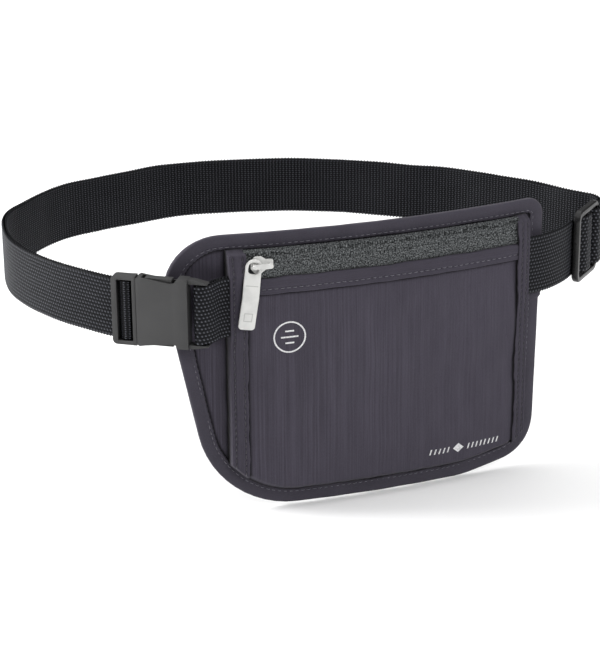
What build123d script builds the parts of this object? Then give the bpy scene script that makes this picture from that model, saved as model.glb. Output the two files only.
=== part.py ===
"""Money belt: a flat zipped waist pouch on a webbing belt with a side-release buckle.

Millimetres. The origin is the middle of the waist loop at mid-height of the webbing,
+Z is up and -Y is the front, where the pouch hangs.
"""

from build123d import *
from math import cos, degrees, radians, sin, sqrt, tan
import os

os.makedirs("parts", exist_ok=True)

# ---- driving dimensions -------------------------------------------------------------
# Webbing
WEB_W = 30.0
WEB_T = 1.4
PLY_STEP = 1.5
PLY = PLY_STEP / 2

# Pouch: every panel is curved about one upright axis, at the radii listed here
ARC_R = 500.0
ARC_Y = 413.0
R_BINDING = (493.2, 496.0)
R_BACK = (494.0, 495.0)
R_LINER_BACK = (495.0, 495.3)
R_POCKET_FRONT = (500.2, 500.8)
R_LINER_FRONT = (499.9, 500.2)
R_TAPE = (499.6, 500.2)
R_COIL = (498.2, 499.5)
R_WELT = (500.8, 501.9)
R_TRIM = (500.8, 501.6)
TRIM_COVER = 0.6
FABRIC = 0.8
PANEL_INSET = 1.0
BINDING_W = 7.5

# Pouch outline seen from the front: corner x, z and corner radius
OUTLINE = [
    (-102.0, 34.1, 27.0),
    (98.6, 32.7, 9.0),
    (95.8, -102.0, 21.0),
    (55.4, -109.0, 80.0),
    (-73.6, -108.2, 49.0),
]

# Features along the pouch, measured round its front face from the middle
TRIM_LEFT = (-67.5, -59.0)
TRIM_RIGHT = (82.0, 88.5)
SEWN_LEFT = (-67.5, -62.5)
SEWN_RIGHT = (84.0, 88.5)
ZIP_Z = 20.0
ZIP_WINDOW_S = (-58.8, 82.0)
ZIP_WINDOW_Z = (12.4, 24.3)
ZIP_TAPE_Z = (10.0, 24.3)
ZIP_GAP = 1.5
COIL_GAP = 1.2
COIL_H = 1.4
STOP_T = 0.5
STOP_H = 6.0
WELT_Z = (4.8, 13.0)
LINER_TOP = 9.5

# Zip slider and puller
SLIDER_S = -52.3
SLIDER_LEG_X = -3.2
SLIDER_POST_X = 4.8
LEG_R = 1.0
PULLER_W = 8.0
PULLER_T = 1.4
PULLER_TILT = 9.5
PULLER_RING_R = 4.1
PULLER_RING_Z = -0.7
PULLER_HOLE_W = 5.2
PULLER_HOLE_Z = (1.9, -3.9)
# Side view of the puller's mid-plane below the slider's leg: y and z from the leg's foot
PULLER_SIDE = [(-2.8, 3.6), (-2.8, -4.2), (-5.8, -14.5), (-6.3, -30.5)]

# Buckle: the frame's origin is the mouth, x runs into the female part
BAR_X, BAR_Y = -83.0, -87.8
BUCKLE_HEADING = -32.0
BUCKLE_H = 34.6
BUCKLE_T = 6.8
FEMALE_L = 25.0
FEMALE_BAR = 30.0
FEMALE_ARMS = 34.5
STRAP_TURN = 30.0
PLATE_T = 1.2
MALE_L = 12.2
MALE_BAR = -5.1
MALE_END_BAR = 2.6
MALE_CORNER = 2.4
MALE_FRONT = -3.0
WEARER_SIDE = 1.9
BAR_R = 1.2
BAR_GAP = 0.15
RAIL = 2.0
KNUCKLE_X, KNUCKLE_Z, KNUCKLE_R = 1.8, 9.5, 2.0
LEDGE_X = 18.5
PRONG_END = 17.4
BELT_Y = 1.2
MOUTH_Y = 1.5
MOUTH_TURN = 16.0
SIDE_CLEAR = 0.2

# Belt adjuster (tri-glide)
GLIDE_X, GLIDE_Y = 128.9, -55.2
GLIDE_HEADING = 43.5
GLIDE_L = 28.0
GLIDE_H = 38.0
GLIDE_T = 3.5
GLIDE_BAR = 3.0
GLIDE_OUT = 1.9
GLIDE_ROD_X = -1.0
GLIDE_RUN = 21.0

# Belt route between the buckle and the adjuster: x, y, heading
BELT_STOPS = [
    (-150.7, -3.6, 102.6),
    (-149.9, 33.7, 78.4),
    (-123.2, 69.3, 45.0),
    (-64.1, 91.7, 13.3),
    (-12.7, 91.2, -13.0),
    (59.7, 60.5, -35.7),
    (101.1, 28.9, -48.4),
    (134.8, -13.5, -61.3),
]

# ---- plan geometry ------------------------------------------------------------------
# A stop is a plan point with a heading in degrees. A frame is a stop used as local axes:
# x along its heading, y to the left, which is the wearer's side all round the belt.


def ahead(heading):
    return Vector(cos(radians(heading)), sin(radians(heading)))


def left(heading):
    return ahead(heading + 90)


def in_frame(frame, x, y, turn=0.0):
    origin, heading = frame
    return origin + ahead(heading) * x + left(heading) * y, heading + turn


def on_pouch(s, radius):
    angle = s / ARC_R
    return Vector(radius * sin(angle), ARC_Y - radius * cos(angle)), degrees(angle)


def arc_from(start, heading, end):
    """The arc that leaves start along heading and reaches end, as (start, heading, end, turn)."""
    chord = end - start
    turn = 2 * ahead(heading).get_signed_angle(chord, Vector(0, 0, 1))
    return start, heading, end, turn


def biarc(a, b):
    """Two tangent arcs that join two stops."""
    (p0, h0), (p1, h1) = a, b
    t0, t1, v = ahead(h0), ahead(h1), p1 - p0
    vt, bend = v.dot(t0 + t1), 2 * (1 - t0.dot(t1))
    if bend < 1e-9:
        reach = v.dot(v) / (2 * vt)
    else:
        reach = (sqrt(vt * vt + bend * v.dot(v)) - vt) / bend
    joint = (p0 + p1 + (t0 - t1) * reach) * 0.5
    first = arc_from(p0, h0, joint)
    return [first, arc_from(joint, h0 + first[3], p1)]


def offset_edge(arc, side):
    start, heading, end, turn = arc
    a = start + left(heading) * side
    b = end + left(heading + turn) * side
    if abs(turn) < 0.01:
        return Line(a, b)
    chord = (end - start).length
    middle = (start + end) * 0.5 - left(heading + turn / 2) * (chord / 2 * tan(radians(turn / 4)))
    return ThreePointArc(a, middle + left(heading + turn / 2) * side, b)


def ribbon(stops, side=0.0, thickness=WEB_T, width=WEB_W):
    """Webbing on edge along a list of stops, moved to the left by side."""
    arcs = [arc for a, b in zip(stops, stops[1:]) for arc in biarc(a, b)]
    one = [offset_edge(arc, side + thickness / 2) for arc in arcs]
    other = [offset_edge(arc, side - thickness / 2) for arc in arcs]
    ends = [Line(one[0] @ 0, other[0] @ 0), Line(one[-1] @ 1, other[-1] @ 1)]
    face = make_face(one + other + ends).face()
    return Pos(0, 0, -width / 2) * Solid.extrude(face, Vector(0, 0, width))


def shell(radii, s_range, z_range):
    """A curved sheet of the pouch between two radii."""
    (r_in, r_out), (s0, s1), (z0, z1) = radii, s_range, z_range
    middle = (s0 + s1) / 2
    outer = ThreePointArc(*[on_pouch(s, r_out)[0] for s in (s0, middle, s1)])
    inner = ThreePointArc(*[on_pouch(s, r_in)[0] for s in (s0, middle, s1)])
    ends = [Line(outer @ 0, inner @ 0), Line(outer @ 1, inner @ 1)]
    face = make_face([outer, inner] + ends).face()
    return Pos(0, 0, z0) * Solid.extrude(face, Vector(0, 0, z1 - z0))


def through(face):
    """Prism through the pouch, from a face drawn as it looks from the front."""
    standing = Pos(0, -100, 0) * Rot(90, 0, 0) * face.face()
    return Solid.extrude(standing, Vector(0, 50, 0))


def inset(face, amount):
    return offset(face, amount=-amount, kind=Kind.INTERSECTION)


def location(frame, z=0.0):
    origin, heading = frame
    return Location((origin.X, origin.Y, z), (0, 0, heading))


def block(x_range, y_range, z_range):
    (x0, x1), (y0, y1), (z0, z1) = x_range, y_range, z_range
    return Pos((x0 + x1) / 2, (y0 + y1) / 2, (z0 + z1) / 2) * Box(x1 - x0, y1 - y0, z1 - z0)


def plate(points, y_range, radius=0.0):
    """A plate whose outline is drawn in x, z, from y0 to y1."""
    outline = FilletPolyline(*points, radius=radius, close=True) if radius else Polyline(*points, close=True)
    face = (Pos(0, y_range[0], 0) * Rot(90, 0, 0) * make_face(outline)).face()
    return Solid.extrude(face, Vector(0, y_range[1] - y_range[0], 0))


def rod(x, y, z_range, radius):
    z0, z1 = z_range
    return Pos(x, y, (z0 + z1) / 2) * Cylinder(radius, z1 - z0)


def cross_rod(x, z, y_range, radius):
    y0, y1 = y_range
    return Pos(x, (y0 + y1) / 2, z) * Rot(90, 0, 0) * Cylinder(radius, y1 - y0)


# ---- frames -------------------------------------------------------------------------
BUCKLE = in_frame((Vector(BAR_X, BAR_Y), BUCKLE_HEADING), -FEMALE_BAR, 0)
GLIDE = (Vector(GLIDE_X, GLIDE_Y), GLIDE_HEADING)
SLIDER = on_pouch(SLIDER_S, ARC_R)

# ---- pouch --------------------------------------------------------------------------
WIDE = (-120.0, 120.0)
TALL = (-120.0, 50.0)


def pouch_outline():
    points = [(x, z) for x, z, _ in OUTLINE]
    return make_face(FilletPolyline(*points, radius=[r for _, _, r in OUTLINE], close=True))


def pocket_outline(outline):
    """The zipped pocket's outline: inside the binding and between the two trims."""
    x0, x1 = on_pouch(TRIM_LEFT[0] + 0.5, ARC_R)[0].X, on_pouch(TRIM_RIGHT[1] - 0.5, ARC_R)[0].X
    z_middle, z_size = (TALL[0] + TALL[1]) / 2, TALL[1] - TALL[0]
    between = Pos((x0 + x1) / 2, z_middle) * Rectangle(x1 - x0, z_size)
    return inset(outline, BINDING_W + 0.1) & between


def back_panel(outline):
    return shell(R_BACK, WIDE, TALL) & through(inset(outline, PANEL_INSET))


def edge_binding(outline, panel):
    tape = shell(R_BINDING, WIDE, TALL) & through(outline)
    return tape - through(inset(outline, BINDING_W)) - panel


def front_panel(pocket):
    """Pocket front with its side walls turned back to the back panel, and the zip's window."""
    whole = shell((R_BACK[1], R_POCKET_FRONT[1]), WIDE, TALL) & through(pocket)
    inside = shell((R_BACK[1] - 1, R_POCKET_FRONT[0]), WIDE, TALL) & through(inset(pocket, FABRIC))
    window = shell((R_POCKET_FRONT[0] - 1, R_POCKET_FRONT[1] + 1), ZIP_WINDOW_S, ZIP_WINDOW_Z)
    return whole - inside - window


def liner(pocket, radii, top):
    sheet = shell(radii, WIDE, (TALL[0], top))
    return sheet & through(inset(pocket, FABRIC + 0.2))


def side_trim(outline, s_range, sewn, thickness):
    """Folded strip over the pocket's edge, raised where it covers the sewn webbing."""
    top = R_TRIM[0] + 0.1 + thickness
    raised_z = (-WEB_W / 2 - 0.8, WEB_W / 2 + 0.8)
    strip = shell(R_TRIM, s_range, TALL) & through(inset(outline, BINDING_W + 0.1))
    inner_s = (max(s_range[0], sewn[0] - 0.6), min(s_range[1], sewn[1] + 0.6))
    cover = shell((R_TRIM[0], top + TRIM_COVER), inner_s, raised_z)
    tunnel_s = (sewn[0] - 1, sewn[1]) if sewn[0] < 0 else (sewn[0], sewn[1] + 1)
    tunnel = shell((R_TRIM[0] - 1, top), tunnel_s, (-WEB_W / 2 - 0.2, WEB_W / 2 + 0.2))
    return strip + cover - tunnel


def zip_parts():
    tape_s = (ZIP_WINDOW_S[0] - 5, ZIP_WINDOW_S[1] + 4)
    half = ZIP_GAP / 2
    coil = COIL_GAP / 2
    stop_r = (R_TAPE[1], R_TAPE[1] + STOP_T)
    stop_s = (ZIP_WINDOW_S[1] - 2.0, ZIP_WINDOW_S[1] - 0.4)
    return {
        "zip_tape_upper": shell(R_TAPE, tape_s, (ZIP_Z + half, ZIP_TAPE_Z[1])),
        "zip_tape_lower": shell(R_TAPE, tape_s, (ZIP_TAPE_Z[0], ZIP_Z - half)),
        "zip_coil_upper": shell(R_COIL, ZIP_WINDOW_S, (ZIP_Z + coil, ZIP_Z + coil + COIL_H)),
        "zip_coil_lower": shell(R_COIL, ZIP_WINDOW_S, (ZIP_Z - coil - COIL_H, ZIP_Z - coil)),
        "zip_end_stop": shell(stop_r, stop_s, (ZIP_Z - STOP_H / 2, ZIP_Z + STOP_H / 2)),
    }


def zip_slider():
    """Front and rear plates joined by a neck, with a bridge that holds the puller."""
    front = [(-4.5, -1.6), (-2.6, -4.2), (0.4, -4.2), (2.8, -2.5), (6.3, -2.3)]
    outline = front + [(x, -z) for x, z in reversed(front)]
    face = plate(outline, (-1.7, -0.4), 0.9)
    rear = plate(outline, (2.1, 3.1), 0.9)
    neck = block((-4.0, 4.5), (-0.5, 2.2), (-0.45, 0.45))
    leg = cross_rod(SLIDER_LEG_X, 0, (-4.0, -1.5), LEG_R)
    post = cross_rod(SLIDER_POST_X, 0, (-4.0, -1.5), LEG_R)
    bridge = block((SLIDER_LEG_X, SLIDER_POST_X), (-5.0, -3.8), (-LEG_R, LEG_R))
    caps = [cross_rod(x, 0, (-5.0, -3.8), LEG_R) for x in (SLIDER_LEG_X, SLIDER_POST_X)]
    return location(SLIDER, ZIP_Z) * (face + rear + neck + leg + post + bridge + caps[0] + caps[1])


def zip_puller():
    """Tab with a square ring round the slider's leg, stepped forward below the ring."""
    half_w, half_t = PULLER_W / 2, PULLER_T / 2
    front_line = [(0, y - half_t, z) for y, z in PULLER_SIDE]
    back_line = [(0, y + half_t, z) for y, z in reversed(PULLER_SIDE)]
    profile = make_face(Polyline(*front_line, *back_line, close=True)).face()
    tab = Pos(-PULLER_RING_R, 0, 0) * Solid.extrude(profile, Vector(2 * PULLER_RING_R, 0, 0))
    top, tip = PULLER_RING_Z + 1.6, PULLER_SIDE[-1][1]
    shape = plate([(-half_w, top), (half_w, top), (half_w, tip), (-half_w, tip)], (-8, 0), 1.6)
    shape += cross_rod(0, PULLER_RING_Z, (-8, 0), PULLER_RING_R)
    hole_w = PULLER_HOLE_W / 2
    hole_top, hole_end = PULLER_HOLE_Z
    hole_points = [(-hole_w, hole_top), (hole_w, hole_top), (hole_w, hole_end), (-hole_w, hole_end)]
    puller = (tab & shape) - plate(hole_points, (-8, 0), 2.0)
    return location(SLIDER, ZIP_Z) * Pos(SLIDER_LEG_X, 0, 0) * Rot(0, PULLER_TILT, 0) * puller


# ---- buckle -------------------------------------------------------------------------


def buckle_female():
    half_h = BUCKLE_H / 2
    top = [(0, 16.6), (1.2, half_h), (3.4, 16.9), (16.8, 15.1), (18.6, 15.4), (20.0, half_h), (FEMALE_L, half_h)]
    outline = top + [(x, -z) for x, z in reversed(top)]
    half = BUCKLE_T / 2
    body = plate(outline, (-half, half))
    inner = half - PLATE_T
    body -= block((-1, 22.0), (-inner, inner), (-13.5, 13.5))
    body -= block((-1, LEDGE_X), (-inner, inner), (-15.5, 15.5))
    body -= block((2.5, LEDGE_X), (-inner, inner), (-20.0, 20.0))
    arm = [(FEMALE_L - 1, 15.3), (FEMALE_L - 1, half_h), (28.0, 17.1), (FEMALE_ARMS, 15.8), (FEMALE_ARMS, 15.3)]
    for sign in (1, -1):
        body += plate([(x, sign * z) for x, z in arm], (-2.2, 2.2))
    body += rod(FEMALE_BAR, 0, (-16, 16), BAR_R)
    return location(BUCKLE) * body


def buckle_male():
    """Frame with two web bars, a guide tongue and two round seats for the prongs."""
    rail_y = (MALE_FRONT, WEARER_SIDE)
    tongue = BUCKLE_T / 2 - PLATE_T - SIDE_CLEAR
    half = BUCKLE_H / 2
    body = block((-RAIL, -0.2), (MALE_FRONT - 0.2, WEARER_SIDE + 0.2), (-half, half))
    for sign in (1, -1):
        z_range = sorted((sign * (half - RAIL), sign * half))
        body += block((-MALE_L, -RAIL + 0.1), rail_y, z_range)
    body += block((-MALE_L, -MALE_L + MALE_END_BAR), (MALE_FRONT, -0.45), (-half, half))
    body += rod(MALE_BAR, -0.1, (-half + 1, half - 1), BAR_R)
    body += block((-0.5, 3.0), (-tongue, tongue), (-12.2, 12.2))
    body += block((-0.5, 15.0), (-tongue, tongue), (-2.8, 2.8))
    for sign in (1, -1):
        body -= cross_rod(KNUCKLE_X, sign * KNUCKLE_Z, (-5, 5), KNUCKLE_R + 0.05)
    corners = [(-MALE_L, half), (FEMALE_L, half), (FEMALE_L, -half), (-MALE_L, -half)]
    return location(BUCKLE) * (body & plate(corners, (-5, 5), MALE_CORNER))


def prong(sign):
    """One sprung arm with its finger pad and hook, turning on a round root."""
    arm = [(1.8, 8.2), (4.6, 8.6), (8.4, 11.6), (PRONG_END, 12.6), (PRONG_END, 16.9), (4.2, 16.9), (4.2, 15.0),
           (6.4, 14.0), (3.6, 10.8), (1.8, 10.8)]
    half = BUCKLE_T / 2 - PLATE_T - SIDE_CLEAR
    shape = plate([(x, sign * z) for x, z in arm], (-half, half))
    shape += cross_rod(KNUCKLE_X, sign * KNUCKLE_Z, (-half, half), KNUCKLE_R)
    return location(BUCKLE) * shape


# ---- adjuster -----------------------------------------------------------------------


def tri_glide():
    outer = Pos(0, -GLIDE_OUT, 0) * Rot(90, 0, 0) * RectangleRounded(GLIDE_L, GLIDE_H, 5.0)
    opening = Pos(0, -GLIDE_OUT, 0) * Rot(90, 0, 0) * RectangleRounded(GLIDE_L - 2 * GLIDE_BAR, 31.4, 1.5)
    ring = extrude(outer, GLIDE_T / 2, both=True) - extrude(opening, GLIDE_T, both=True)
    ring = chamfer(ring.edges().filter_by(Axis.Y, reverse=True), 0.6)
    return location(GLIDE) * (ring + rod(GLIDE_ROD_X, -GLIDE_OUT, (-16.5, 16.5), BAR_R))


# ---- belt ---------------------------------------------------------------------------
# The belt's two plies lie side by side from the buckle to the adjuster: the outer one is
# sewn to the adjuster, and the inner one runs on through it to the pouch.

BELT = [(Vector(x, y), heading) for x, y, heading in BELT_STOPS]
MOUTH = in_frame(BUCKLE, -MALE_L, MOUTH_Y, -MOUTH_TURN)
BELT_AT_MALE = in_frame(MOUTH, 0, 0, 180)
BELT_AT_GLIDE = in_frame(GLIDE, GLIDE_RUN, 0, 180)


def plies(stops):
    """Both plies of the belt along the stops, the outer one on the right of the wearer's side."""
    return [ribbon(stops, side=PLY), ribbon(stops, side=-PLY)]


def buckle_turn():
    """Outer ply up through the male part's slot, round its bar and back as the inner ply."""
    y_in, y_out = BELT_Y + PLY, BELT_Y - PLY
    y_crest = -0.1 - BAR_R - BAR_GAP - WEB_T / 2
    route = [
        in_frame(MOUTH, 0, -PLY),
        in_frame(BUCKLE, MALE_END_BAR - MALE_L + 0.1, y_out),
        in_frame(BUCKLE, MALE_BAR - 0.5, y_crest),
        in_frame(BUCKLE, MALE_BAR, y_crest),
        in_frame(BUCKLE, MALE_BAR, y_in, 180),
        in_frame(BUCKLE, MALE_END_BAR - MALE_L + 0.1, y_in, 180),
        in_frame(MOUTH, 0, PLY, 180),
    ]
    return ribbon(route)


def short_strap():
    """Webbing folded round the female part's bar, both ends sewn under the left trim."""
    loop = BAR_R + BAR_GAP + WEB_T / 2
    bar = in_frame(BUCKLE, FEMALE_BAR, 0, STRAP_TURN)
    back_r = R_TRIM[0] + 0.1 + WEB_T / 2
    route = [
        on_pouch(SEWN_LEFT[1], back_r + PLY_STEP),
        on_pouch(SEWN_LEFT[0], back_r + PLY_STEP),
    ]
    route = [(point, heading + 180) for point, heading in route]
    route += [
        in_frame(bar, 0, -loop, 180),
        in_frame(bar, 0, loop),
        on_pouch(SEWN_LEFT[0], back_r),
        on_pouch(SEWN_LEFT[1], back_r),
    ]
    return ribbon(route)


def glide_weave():
    """Inner ply through the adjuster: under its ends and over its middle rod."""
    crest = -GLIDE_OUT - BAR_R - BAR_GAP - WEB_T / 2
    under = PLY + PLY_STEP
    route = [
        in_frame(GLIDE, -GLIDE_L / 2, PLY),
        in_frame(GLIDE, -10.0, PLY),
        in_frame(GLIDE, -2.6, crest),
        in_frame(GLIDE, 0.6, crest),
        in_frame(GLIDE, 7.4, under),
        in_frame(GLIDE, 15.5, under),
        in_frame(GLIDE, GLIDE_RUN, PLY),
    ]
    return ribbon(route)


def glide_loop():
    """Outer ply over the adjuster's end bar, round it and back to a sewn tail."""
    over = -GLIDE_OUT - GLIDE_T / 2 - 0.2 - WEB_T / 2
    turn_x = 11.6
    route = [
        in_frame(GLIDE, GLIDE_RUN, -PLY, 180),
        in_frame(GLIDE, 14.0, over, 180),
        in_frame(GLIDE, turn_x, over, 180),
        in_frame(GLIDE, turn_x, PLY),
        in_frame(GLIDE, 15.2, PLY),
    ]
    return ribbon(route)


def right_run():
    """Single ply from under the right trim to the adjuster."""
    radius = R_TRIM[0] + 0.1 + WEB_T / 2
    route = [on_pouch(s, radius) for s in SEWN_RIGHT] + [in_frame(GLIDE, -GLIDE_L / 2, PLY)]
    return ribbon(route)


# ---- build --------------------------------------------------------------------------
outline = pouch_outline()
pocket = pocket_outline(outline)
panel = back_panel(outline)

nodes = {
    "back_panel": panel,
    "edge_binding": edge_binding(outline, panel),
    "front_panel": front_panel(pocket),
    "rfid_liner_back": liner(pocket, R_LINER_BACK, TALL[1]),
    "rfid_liner_front": liner(pocket, R_LINER_FRONT, LINER_TOP),
    "zip_welt": shell(R_WELT, (TRIM_LEFT[1] + 0.1, TRIM_RIGHT[0] - 0.1), WELT_Z),
    "side_trim_left": side_trim(outline, TRIM_LEFT, SEWN_LEFT, WEB_T + PLY_STEP),
    "side_trim_right": side_trim(outline, TRIM_RIGHT, SEWN_RIGHT, WEB_T),
    "zip_slider": zip_slider(),
    "zip_puller": zip_puller(),
    "buckle_female": buckle_female(),
    "buckle_male": buckle_male(),
    "prong_upper": prong(1),
    "prong_lower": prong(-1),
    "tri_glide": tri_glide(),
    "strap_short": short_strap(),
    "strap_buckle_turn": buckle_turn(),
    "strap_bend_left": Compound(plies([BELT_AT_MALE] + BELT[:2])),
    "strap_bend_right": Compound(plies([BELT[-1], BELT_AT_GLIDE])),
    "strap_weave": glide_weave(),
    "strap_end_loop": glide_loop(),
    "strap_right": right_run(),
}
nodes.update(zip_parts())
for name, side in (("strap_back_outer", PLY), ("strap_back_inner", -PLY)):
    nodes[name] = ribbon(BELT[1:], side=side)

for name, shape in nodes.items():
    export_step(shape, f"parts/{name}.step")
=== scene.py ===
"""Money belt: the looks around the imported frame, in millimetres until each mesh is made."""

import bmesh
import bpy
import numpy as np
from math import atan2, cos, degrees, pi, radians, sin, sqrt, tan
from mathutils import Matrix, Vector


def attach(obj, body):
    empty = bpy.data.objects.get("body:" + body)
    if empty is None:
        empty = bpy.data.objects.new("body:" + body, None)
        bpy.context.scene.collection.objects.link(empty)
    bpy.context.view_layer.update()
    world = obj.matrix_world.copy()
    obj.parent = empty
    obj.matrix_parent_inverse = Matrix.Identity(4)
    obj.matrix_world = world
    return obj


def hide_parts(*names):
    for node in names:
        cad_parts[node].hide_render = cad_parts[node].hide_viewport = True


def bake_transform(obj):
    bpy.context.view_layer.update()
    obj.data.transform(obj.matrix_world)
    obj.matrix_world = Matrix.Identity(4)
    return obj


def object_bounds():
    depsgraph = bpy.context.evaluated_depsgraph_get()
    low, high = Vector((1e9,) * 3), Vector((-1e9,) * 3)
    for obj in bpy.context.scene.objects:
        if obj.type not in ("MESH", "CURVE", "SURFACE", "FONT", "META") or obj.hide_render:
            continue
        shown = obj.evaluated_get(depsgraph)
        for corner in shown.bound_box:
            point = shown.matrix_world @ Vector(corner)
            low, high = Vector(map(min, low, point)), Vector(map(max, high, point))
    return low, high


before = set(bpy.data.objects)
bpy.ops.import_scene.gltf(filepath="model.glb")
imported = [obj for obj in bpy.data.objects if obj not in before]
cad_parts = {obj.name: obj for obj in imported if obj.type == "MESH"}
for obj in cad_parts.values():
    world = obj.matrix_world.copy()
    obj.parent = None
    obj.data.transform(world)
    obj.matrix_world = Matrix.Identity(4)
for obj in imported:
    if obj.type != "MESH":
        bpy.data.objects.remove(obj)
CAD_BOX = [list(corner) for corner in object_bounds()]
MM = 0.001

# ---- dimensions shared with the frame -------------------------------------------------
ARC_R = 500.0
ARC_Y = 413.0
WEB_W = 30.0
PLY = 0.75
PLY_STEP = 1.5
BAR_R = 1.2
BAR_GAP = 0.15
HALF_WEB = 0.7

# Corners of the pouch's outline: x, z and the corner's radius
OUTLINE = [
    (-102.0, 34.1, 27.0),
    (98.6, 32.7, 9.0),
    (95.8, -102.0, 21.0),
    (55.4, -109.0, 80.0),
    (-73.6, -108.2, 49.0),
]
BINDING_W = 7.5
# Distances from the pouch's axis of curvature
BINDING_R = 494.6
BACK_R = 494.9
TRIM_FOOT_R = 494.7
TAPE_R = 500.2
FRONT_R = 500.75
TRIM_R = 501.85
WELT_R = 502.0
TRIM_LEFT = (-67.5, -59.0)
TRIM_RIGHT = (82.0, 88.5)
WINDOW_S = (-58.8, 82.0)
WINDOW_Z = (12.4, 24.3)
ZIP_Z = 20.0
WELT_Z = (4.8, 13.0)

BUCKLE_HEADING = -32.0
BUCKLE_BAR = (-83.0, -87.8)
FEMALE_BAR = 30.0
STRAP_TURN = 30.0
MALE_L = 12.2
MALE_BAR = -5.1
MALE_END_BAR = 2.6
BELT_Y = 1.2
MOUTH_Y = 1.5
MOUTH_TURN = 16.0
GLIDE = ((128.9, -55.2), 43.5)
GLIDE_L = 28.0
GLIDE_T = 3.5
GLIDE_OUT = 1.9
GLIDE_RUN = 21.0
SLIDER_S = -52.3
SLIDER_LEG_X = -3.2
PULLER_TILT = 9.5
# Stops of the belt's route: a point in plan and the heading there
BELT = [
    ((-150.7, -3.6), 102.6),
    ((-149.9, 33.7), 78.4),
    ((-123.2, 69.3), 45.0),
    ((-64.1, 91.7), 13.3),
    ((-12.7, 91.2), -13.0),
    ((59.7, 60.5), -35.7),
    ((101.1, 28.9), -48.4),
    ((134.8, -13.5), -61.3),
]


# ---- plan geometry --------------------------------------------------------------------
def ahead(heading):
    return np.array([cos(radians(heading)), sin(radians(heading))])


def left(heading):
    return ahead(heading + 90)


def in_frame(origin, x, y, turn=0.0):
    point, heading = origin
    return tuple(np.array(point) + ahead(heading) * x + left(heading) * y), heading + turn


def on_pouch(s, radius):
    angle = s / ARC_R
    return (radius * sin(angle), ARC_Y - radius * cos(angle)), degrees(angle)


# The buckle's own frame, and where the two plies leave its male part
BUCKLE = in_frame((BUCKLE_BAR, BUCKLE_HEADING), -FEMALE_BAR, 0)
MOUTH = in_frame(BUCKLE, -MALE_L, MOUTH_Y, -MOUTH_TURN)
SPAN_STEP = 0.25
CORNER_POINTS = 13


def arc_from(start, heading, end):
    """The arc that leaves start along heading and ends at end, with its turn in degrees."""
    chord = end - start
    turn = 2 * ((degrees(atan2(chord[1], chord[0])) - heading + 180) % 360 - 180)
    return start, heading, end, turn


def biarc(a, b):
    """Two tangent arcs from stop a to stop b."""
    (p0, h0), (p1, h1) = (np.array(a[0]), a[1]), (np.array(b[0]), b[1])
    t0, t1, v = ahead(h0), ahead(h1), p1 - p0
    vt, bend = v @ (t0 + t1), 2 * (1 - t0 @ t1)
    if bend < 1e-9:
        reach = v @ v / (2 * vt)
    else:
        reach = (sqrt(vt * vt + bend * (v @ v)) - vt) / bend
    joint = (p0 + p1 + (t0 - t1) * reach) * 0.5
    first = arc_from(p0, h0, joint)
    return [first, arc_from(joint, h0 + first[3], p1)]


def span(stops, side=0.0, back=False):
    """Rows of x, y, heading along tangent arcs through the stops, moved left by side."""
    rows = []
    for a, b in zip(stops, stops[1:]):
        for start, heading, end, turn in biarc(a, b):
            chord = float(np.hypot(*(end - start)))
            if chord < 1e-6:
                continue
            count = max(3, int(chord / SPAN_STEP))
            radius = chord / (2 * sin(radians(turn / 2))) if abs(turn) > 0.01 else None
            for i in range(count + 1):
                h = heading + turn * i / count
                if radius is None:
                    p = start + (end - start) * i / count
                else:
                    p = start + left(heading) * radius - left(h) * radius
                p = p + left(h) * side
                rows.append((p[0], p[1], h))
    rows = np.array(rows)
    if back:
        rows = rows[::-1].copy()
        rows[:, 2] += 180
    return rows


def rounded(corners, step=0.5):
    """Closed outline through rounded corners, as rows of x, z."""
    points = []
    for i, (*corner, radius) in enumerate(corners):
        p = np.array(corner)
        to_last = np.array(corners[i - 1][:2]) - p
        to_next = np.array(corners[(i + 1) % len(corners)][:2]) - p
        a, b = to_last / np.hypot(*to_last), to_next / np.hypot(*to_next)
        half = np.arccos(np.clip(a @ b, -1, 1)) / 2
        centre = p + (a + b) / np.hypot(*(a + b)) * radius / sin(half)
        start, end = p + a * radius / tan(half), p + b * radius / tan(half)
        a0, a1 = atan2(*(start - centre)[::-1]), atan2(*(end - centre)[::-1])
        turn = (a1 - a0 + pi) % (2 * pi) - pi
        for angle in a0 + turn * np.linspace(0, 1, CORNER_POINTS):
            points.append(centre + radius * np.array([cos(angle), sin(angle)]))
    return even(np.array(points), step, closed=True)


def even(points, step, closed=False):
    """The same line with points at an even step."""
    points = np.asarray(points, float)
    if closed:
        points = np.vstack([points, points[:1]])
    lengths = np.concatenate([[0], np.cumsum(np.linalg.norm(np.diff(points, axis=0), axis=1))])
    count = max(2, int(round(lengths[-1] / step)))
    at = np.linspace(0, lengths[-1], count + 1)
    if closed:
        at = at[:-1]
    return np.stack([np.interp(at, lengths, points[:, k]) for k in range(points.shape[1])], axis=1)


def waves(u, v, length, seed, count=14):
    """A smooth random field of about unit height, the same each run."""
    draw = np.random.default_rng(seed)
    total = np.zeros(np.broadcast(u, v).shape)
    for _ in range(count):
        angle = draw.uniform(0, 2 * pi)
        phase = draw.uniform(0, 2 * pi)
        size = length * draw.uniform(0.7, 1.6)
        total = total + np.cos((u * cos(angle) + v * sin(angle)) * 2 * pi / size + phase)
    return total * sqrt(2 / count)


def ease(x):
    x = np.clip(x, 0, 1)
    return x * x * (3 - 2 * x)


def pouch_point(x, z, r):
    """The point of the pouch at x, z on the cylinder of radius r."""
    x, z, r = np.broadcast_arrays(np.asarray(x, float), np.asarray(z, float), np.asarray(r, float))
    return np.stack([x, ARC_Y - np.sqrt(r * r - x * x), z], axis=-1)


def s_to_x(s, r=ARC_R):
    return r * np.sin(np.asarray(s, float) / ARC_R)


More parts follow.
